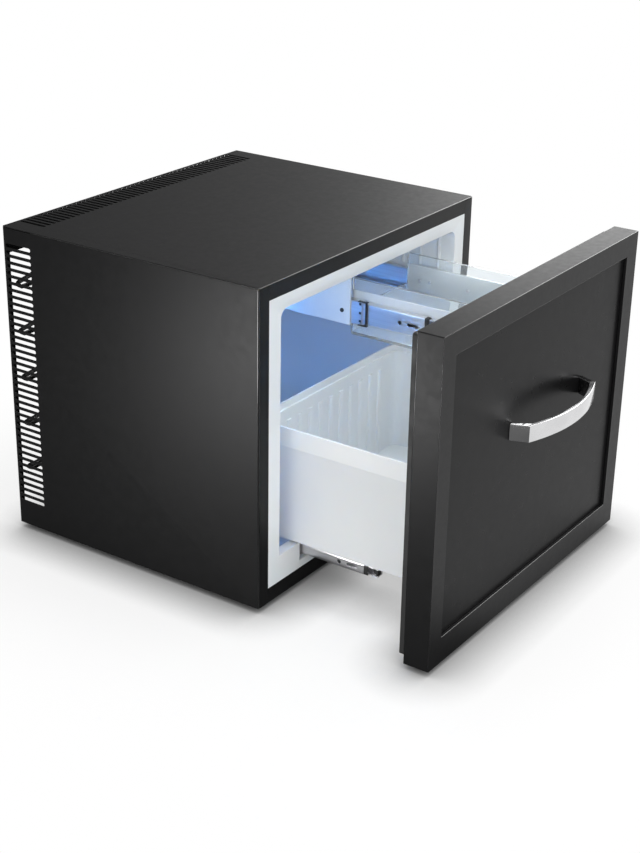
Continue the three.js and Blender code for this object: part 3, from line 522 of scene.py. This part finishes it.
def add_screw(name, place, direction, radius, body, slot):
    """A pan head with a cross recess, standing on the face at place."""
    work = bmesh.new()
    rings = [ring(work, (radius * across,), radius * height) for across, height in SCREW_RINGS]
    crown = SCREW_RINGS[-1][1]
    cross = [radius * across for across in RECESS_ACROSS]
    rings.append(ring(work, cross, radius * crown))
    rings.append(ring(work, cross, radius * RECESS_FLOOR))
    bridge(work, rings)
    cap(work, rings[0], 0.0, outward=False)
    cap(work, rings[-1], radius * RECESS_FLOOR, outward=True)
    turn = Vector(direction).to_track_quat("Z", "Y").to_matrix().to_4x4()
    work.transform(Matrix.Translation(place) @ turn)
    add_piece(name, work, body, slot)


def add_blocks(name, blocks, edge, body, slot):
    """Blocks between pairs of corners, with their edges broken, as one piece."""
    work = bmesh.new()
    for low, high in blocks:
        middle = (Vector(low) + Vector(high)) / 2
        size = Vector(high) - Vector(low)
        made = bmesh.ops.create_cube(work, size=1.0)
        bmesh.ops.scale(work, vec=size, verts=made["verts"])
        bmesh.ops.translate(work, vec=middle, verts=made["verts"])
    bmesh.ops.bevel(
        work,
        geom=list(work.edges),
        offset=edge,
        segments=BEVEL_SEGMENTS,
        profile=BEVEL_PROFILE,
        affect="EDGES",
    )
    add_piece(name, work, body, slot)


HANGER_SHEET = 2.0 * MM
HANGER_SCREWS = 3
HANGER_SCREW_RISE = 18.4 * MM
HANGER_SCREW_INSET = 12.7 * MM


def add_hanger_screws():
    low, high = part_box("tray_hanger")
    first, last = low.y + HANGER_SCREW_INSET, high.y - HANGER_SCREW_INSET
    for k in range(HANGER_SCREWS):
        along = first + (last - first) * k / (HANGER_SCREWS - 1)
        place = (high.x - HANGER_SHEET, along, low.z + HANGER_SCREW_RISE)
        add_screw(f"hanger_screw_{k + 1}", place, (-1, 0, 0), SCREW_RADIUS, "cabinet", "coil_paint")


TRAY_WALL = 4.5 * MM
TRAY_SCREW_RADIUS = 2.4 * MM
TRAY_SCREW_RISE = 43.0 * MM
TRAY_SCREW_INSETS = (26.0 * MM, 42.0 * MM, 102.0 * MM)


def add_tray_screws():
    """Screws through the right wall of the tray, in a pattern that is the same from both ends."""
    low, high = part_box("snack_tray")
    along = [high.y - inset for inset in TRAY_SCREW_INSETS]
    along += [low.y + inset for inset in TRAY_SCREW_INSETS]
    for k, y in enumerate(along):
        place = (high.x - TRAY_WALL, y, low.z + TRAY_SCREW_RISE)
        add_screw(f"tray_screw_{k + 1}", place, (-1, 0, 0), TRAY_SCREW_RADIUS, "drawer", "zinc_steel")


CLIP_REACH = (8.2 * MM, 5.8 * MM)
CLIP_HOOK = 6.0 * MM
CLIP_SHEET = 0.9 * MM
CLIP_SIDE = 0.9 * MM
CLIP_FACE = 1.2 * MM
CLIP_ARM = 4.0 * MM
CLIP_GAP = 0.1 * MM
CLIP_EDGE = 0.15 * MM
TAB_RISES = (5.6 * MM, 16.7 * MM, 29.1 * MM)
TAB_SIZE = 3.2 * MM
TAB_INSET = 1.0 * MM
TAB_PROUD = 0.6 * MM


def add_end_clip():
    """The black clip on the front end of the left upper slide, and the tabs that hold it."""
    low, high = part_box("upper_left_slide_outer")
    left, right, arm = low.x - CLIP_SIDE, low.x + CLIP_FACE, low.x + CLIP_ARM
    front, back = low.y - CLIP_REACH[0], low.y - CLIP_REACH[1]
    bottom, top = low.z - CLIP_SHEET, high.z + CLIP_SHEET
    hook = low.y + CLIP_HOOK
    blocks = [
        ((left, front, bottom), (right, back, top)),
        ((left, front, high.z + CLIP_GAP), (arm, hook, top)),
        ((left, front, bottom), (arm, hook, low.z - CLIP_GAP)),
    ]
    for rise in TAB_RISES:
        middle = low.z + rise
        tab_low = (low.x - TAB_PROUD, low.y + TAB_INSET, middle - TAB_SIZE / 2)
        tab_high = (low.x, low.y + TAB_INSET + TAB_SIZE, middle + TAB_SIZE / 2)
        blocks.append((tab_low, tab_high))
    add_blocks("upper_left_end_clip", blocks, CLIP_EDGE, "cabinet", "black_plastic")


BUMPER_LENGTH = 7.6 * MM
BUMPER_LIP = 2.2 * MM
BUMPER_STEP = 1.0 * MM
BUMPER_INSET = 1.5 * MM
BUMPER_GAP = 0.3 * MM
BUMPER_EDGE = 0.4 * MM


def add_bumpers():
    """Rubber plugs in the front ends of the lower inner members."""
    for side in ("left", "right"):
        low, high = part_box(f"lower_{side}_slide_inner")
        insets = (BUMPER_GAP, BUMPER_INSET) if side == "left" else (BUMPER_INSET, BUMPER_GAP)
        left, right = low.x + insets[0], high.x - insets[1]
        lip, end = low.y + BUMPER_LIP, low.y + BUMPER_LENGTH
        lip_block = (
            (left, low.y, low.z + BUMPER_INSET),
            (right, lip, high.z - BUMPER_INSET),
        )
        plug_block = (
            (left + BUMPER_STEP, lip, low.z + 2 * BUMPER_INSET),
            (right - BUMPER_STEP, end, high.z - 2 * BUMPER_INSET),
        )
        blocks = [lip_block, plug_block]
        add_blocks(f"lower_{side}_bumper", blocks, BUMPER_EDGE, "drawer", "black_rubber")


REAR_SCREWS = 3
RETURN_MIDDLE = 5.6 * MM
LID_RETURN_MIDDLE = 24.0 * MM


def spaced(low, high):
    """The places of the screws along one return, in the middles of equal stretches."""
    return [low + (high - low) * (k + 0.5) / REAR_SCREWS for k in range(REAR_SCREWS)]


def add_rear_screw(name, place):
    add_screw(name, place, (0, 1, 0), SCREW_RADIUS, "cabinet", "black_plastic")


def add_rear_screws():
    """Screws in the returns that frame the open back."""
    for side in ("left", "right"):
        low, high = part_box(f"{side}_side_panel")
        x = low.x + RETURN_MIDDLE if side == "left" else high.x - RETURN_MIDDLE
        for k, z in enumerate(spaced(low.z, high.z)):
            add_rear_screw(f"{side}_rear_screw_{k + 1}", (x, high.y, z))
    low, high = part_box("top_panel")
    for k, x in enumerate(spaced(low.x, high.x)):
        add_rear_screw(f"lid_screw_{k + 1}", (x, high.y, high.z - LID_RETURN_MIDDLE))


LID_SHEET = 1.2 * MM
STRIP_INSET = (0.35 * MM, 1.0 * MM)
STRIP_GAP = 0.05 * MM
STRIP_EDGE = 0.1 * MM


def add_seam_shade_strips():
    """A black strip that closes the seam between the lid and the top of each side, as painted shade: it
    stands for the shade inside the gap.
    """
    lid_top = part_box("top_panel")[1].z
    foam_low, foam_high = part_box("insulation_foam")
    near, far = STRIP_INSET
    for side in ("left", "right"):
        low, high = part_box(f"{side}_side_panel")
        across = (low.x + near, low.x + far) if side == "left" else (high.x - far, high.x - near)
        strip_low = (across[0], foam_low.y, high.z + STRIP_GAP)
        strip_high = (across[1], foam_high.y, lid_top - LID_SHEET - STRIP_GAP)
        blocks = [(strip_low, strip_high)]
        # Painted shade: a black strip where the seam gap lies in shade
        add_blocks(f"{side}_seam_strip", blocks, STRIP_EDGE, "cabinet", "black_rubber")


PIN_STEP = 6.5 * MM
PIN_HALF = (0.9 * MM, 2.2 * MM)
PIN_RAISE = 2.2 * MM
PIN_EDGE = 0.3 * MM
SOCKET_WALL = 3.0 * MM


def add_inlet_pins():
    """Three flat pins, the middle one raised."""
    low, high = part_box("mains_inlet")
    middle = (low + high) / 2
    half_wide, half_high = PIN_HALF
    root, tip = low.y + SOCKET_WALL, high.y - SOCKET_WALL / 2
    blocks = []
    for step, rise in ((-PIN_STEP, 0.0), (0.0, PIN_RAISE), (PIN_STEP, 0.0)):
        x, z = middle.x + step, middle.z + rise
        pin_low = (x - half_wide, root, z - half_high)
        pin_high = (x + half_wide, tip, z + half_high)
        blocks.append((pin_low, pin_high))
    add_blocks("inlet_pins", blocks, PIN_EDGE, "cabinet", "zinc_steel")


add_hanger_screws()
add_tray_screws()
add_end_clip()
add_bumpers()
add_rear_screws()
add_seam_shade_strips()
add_inlet_pins()


# Stage and light
WHITE = (1.0, 1.0, 1.0)
WORLD_LIGHT = 0.48
BRIGHT_SIDE = (0.8, -0.6, 0.0)
MIRRORED_SPREAD = (0.12, 0.55)
MIRRORED_LEVELS = (0.15, 1.0)


def seen_directly(tree, path):
    """One for rays from the camera and for rays through clear plastic, and zero for the rest."""
    return tree.combine("MAXIMUM", path["Is Camera Ray"], path["Is Transmission Ray"])


def mirrored_level(tree, direction):
    """How bright the background is in a mirror: white on the bright side, dark grey on the other."""
    facing = tree.vector("DOT_PRODUCT", direction, BRIGHT_SIDE)
    return tree.ranged(facing, MIRRORED_SPREAD, MIRRORED_LEVELS, "SMOOTHSTEP")


def make_world():
    """White where it is seen, the mirrored level in gloss and metal, and a plain light for the rest."""
    world = bpy.data.worlds.new("studio")
    bpy.context.scene.world = world
    world.use_nodes = True
    tree = ShaderTree(world.node_tree)
    path = tree.node("ShaderNodeLightPath").outputs
    direction = tree.node("ShaderNodeTexCoord").outputs["Generated"]
    level = tree.choose(path["Is Glossy Ray"], WORLD_LIGHT, mirrored_level(tree, direction))
    background = tree.nodes["Background"].inputs
    tree.feed(background["Color"], (*WHITE, 1.0))
    tree.feed(background["Strength"], tree.combine("MAXIMUM", seen_directly(tree, path), level))


FLOOR_SIZE = 14.0
FLOOR_COLOR = (0.86, 0.86, 0.86)
FLOOR_LEVEL = 1.0
CONTACT_REACH = 0.075
CONTACT_DEPTH = 2.0
FADE_NODES = ("base_panel", "front_shell")
FADE_REACH = (0.1, 0.4)
WHITE_SHARES = (0.74, 1.0)


def distance_from(tree, place, node):
    """How far a point of the floor lies outside the box of a node, seen from above."""
    low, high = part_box(node)
    middle, half = (low + high) / 2, (high - low) / 2
    offset = tree.vector("SUBTRACT", place, middle)
    outside = tree.vector("SUBTRACT", tree.vector("ABSOLUTE", offset), half)
    outside = tree.vector("MAXIMUM", outside, (0, 0, 0))
    return tree.vector("LENGTH", tree.vector("MULTIPLY", outside, (1, 1, 0)))


def contact_shade(tree):
    """A painted contact shadow: low on the floor close to the object, and one away from it."""
    contact = tree.node("ShaderNodeAmbientOcclusion", {"Distance": CONTACT_REACH})
    return tree.combine("POWER", contact.outputs["AO"], CONTACT_DEPTH)


def white_share(tree, place, path):
    """The share of plain white where the floor is seen, which grows away from the object."""
    nearest = tree.combine("MINIMUM", *[distance_from(tree, place, node) for node in FADE_NODES])
    seen = tree.combine("MAXIMUM", seen_directly(tree, path), path["Is Glossy Ray"])
    share = tree.ranged(nearest, FADE_REACH, WHITE_SHARES, "SMOOTHSTEP")
    return tree.combine("MULTIPLY", seen, share)


def floor_material():
    """Pale with the object's shadow near it, partly real shadow and partly a painted contact shadow,
    and joined to the white background further out.
    """
    material = bpy.data.materials.new("floor")
    material.use_nodes = True
    tree = ShaderTree(material.node_tree)
    tree.nodes.clear()
    path = tree.node("ShaderNodeLightPath").outputs
    place = tree.node("ShaderNodeNewGeometry").outputs["Position"]
    # Painted reflection: seen in gloss, the floor's colour is darker away from the bright side
    mirrored = mirrored_level(tree, tree.vector("NORMALIZE", place))
    level = tree.choose(path["Is Glossy Ray"], FLOOR_LEVEL, mirrored)
    scaled = {"Vector": FLOOR_COLOR, "Scale": level}
    color = tree.node("ShaderNodeVectorMath", scaled, operation="SCALE").outputs["Vector"]
    diffuse = tree.node("ShaderNodeBsdfDiffuse", {"Color": color}).outputs["BSDF"]
    # Painted contact shadow on the white share of the floor
    strength = tree.combine("MULTIPLY", level, contact_shade(tree))
    white = tree.node("ShaderNodeEmission", {"Strength": strength}).outputs["Emission"]
    both = tree.mix_shaders(white_share(tree, place, path), diffuse, white)
    tree.node("ShaderNodeOutputMaterial", {"Surface": both})
    return material


def make_floor():
    mesh = bpy.data.meshes.new("floor")
    half = FLOOR_SIZE / 2
    corners = [(-half, -half, 0), (half, -half, 0), (half, half, 0), (-half, half, 0)]
    mesh.from_pydata(corners, [], [(0, 1, 2, 3)])
    mesh.materials.append(floor_material())
    floor = add_object("floor", mesh)


MIDDLE = (0.0, 0.0, 0.2)
LIGHTS = {
    "overhead": {
        "place": (0.3, -0.4, 2.6),
        "target": MIDDLE,
        "size": (2.2, 2.2),
        "power": 44.0,
    },
    "right_card": {
        "place": (2.3, 0.35, 0.9),
        "target": MIDDLE,
        "size": (1.6, 1.4),
        "power": 16.0,
    },
    "left_card": {
        "place": (-0.9, 0.2, 0.11),
        "target": (0.0, 0.04, 0.2),
        "size": (0.36, 0.2),
        "power": 5.2,
    },
    "left": {
        "place": (-2.3, -0.6, 0.9),
        "target": (0.0, -0.2, 0.15),
        "size": (1.4, 1.2),
        "power": 15.0,
    },
    "front_left": {
        "place": (-1.3, -2.3, 1.3),
        "target": MIDDLE,
        "size": (1.4, 1.4),
        "power": 19.0,
    },
    "right_front": {
        "place": (1.15, -0.65, 1.0),
        "target": (0.0, -0.2, 0.35),
        "size": (0.8, 0.7),
        "power": 10.0,
    },
}
# These show as a sheen on gloss and paint, and add no light to pale surfaces
SHEEN_CARDS = ("left_card", "right_front")


def area_light(name, place, target, size, power, color=WHITE):
    data = bpy.data.lights.new(name, "AREA")
    data.shape = "RECTANGLE"
    data.size, data.size_y = size
    data.energy = power
    data.color = color
    light = add_object(name, data)
    light.location = place
    aim = Vector(target) - Vector(place)
    light.rotation_euler = aim.to_track_quat("-Z", "Y").to_euler()
    return light


def make_lights():
    for name, settings in LIGHTS.items():
        light = area_light(name, **settings)
        light.visible_diffuse = name not in SHEEN_CARDS


LAMP_DROP = 2.0 * MM
LAMP_AIM = Vector((0.03, 0.3, -0.1))
LAMP_SIZE = (0.055, 0.022)
LAMP_POWER = 1.4
LAMP_COLOR = (0.08, 0.33, 1.0)
LAMP_SPREAD = math.radians(85)


def make_lamp():
    """The blue light of the lamp, from just under its lens towards the back."""
    low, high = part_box("lamp_lens")
    under = Vector(((low.x + high.x) / 2, (low.y + high.y) / 2, low.z - LAMP_DROP))
    lamp = area_light("lamp", under, under + LAMP_AIM, LAMP_SIZE, LAMP_POWER, LAMP_COLOR)
    lamp.data.spread = LAMP_SPREAD


make_world()
make_floor()
make_lights()
make_lamp()
bpy.context.scene.view_settings.view_transform = "Standard"
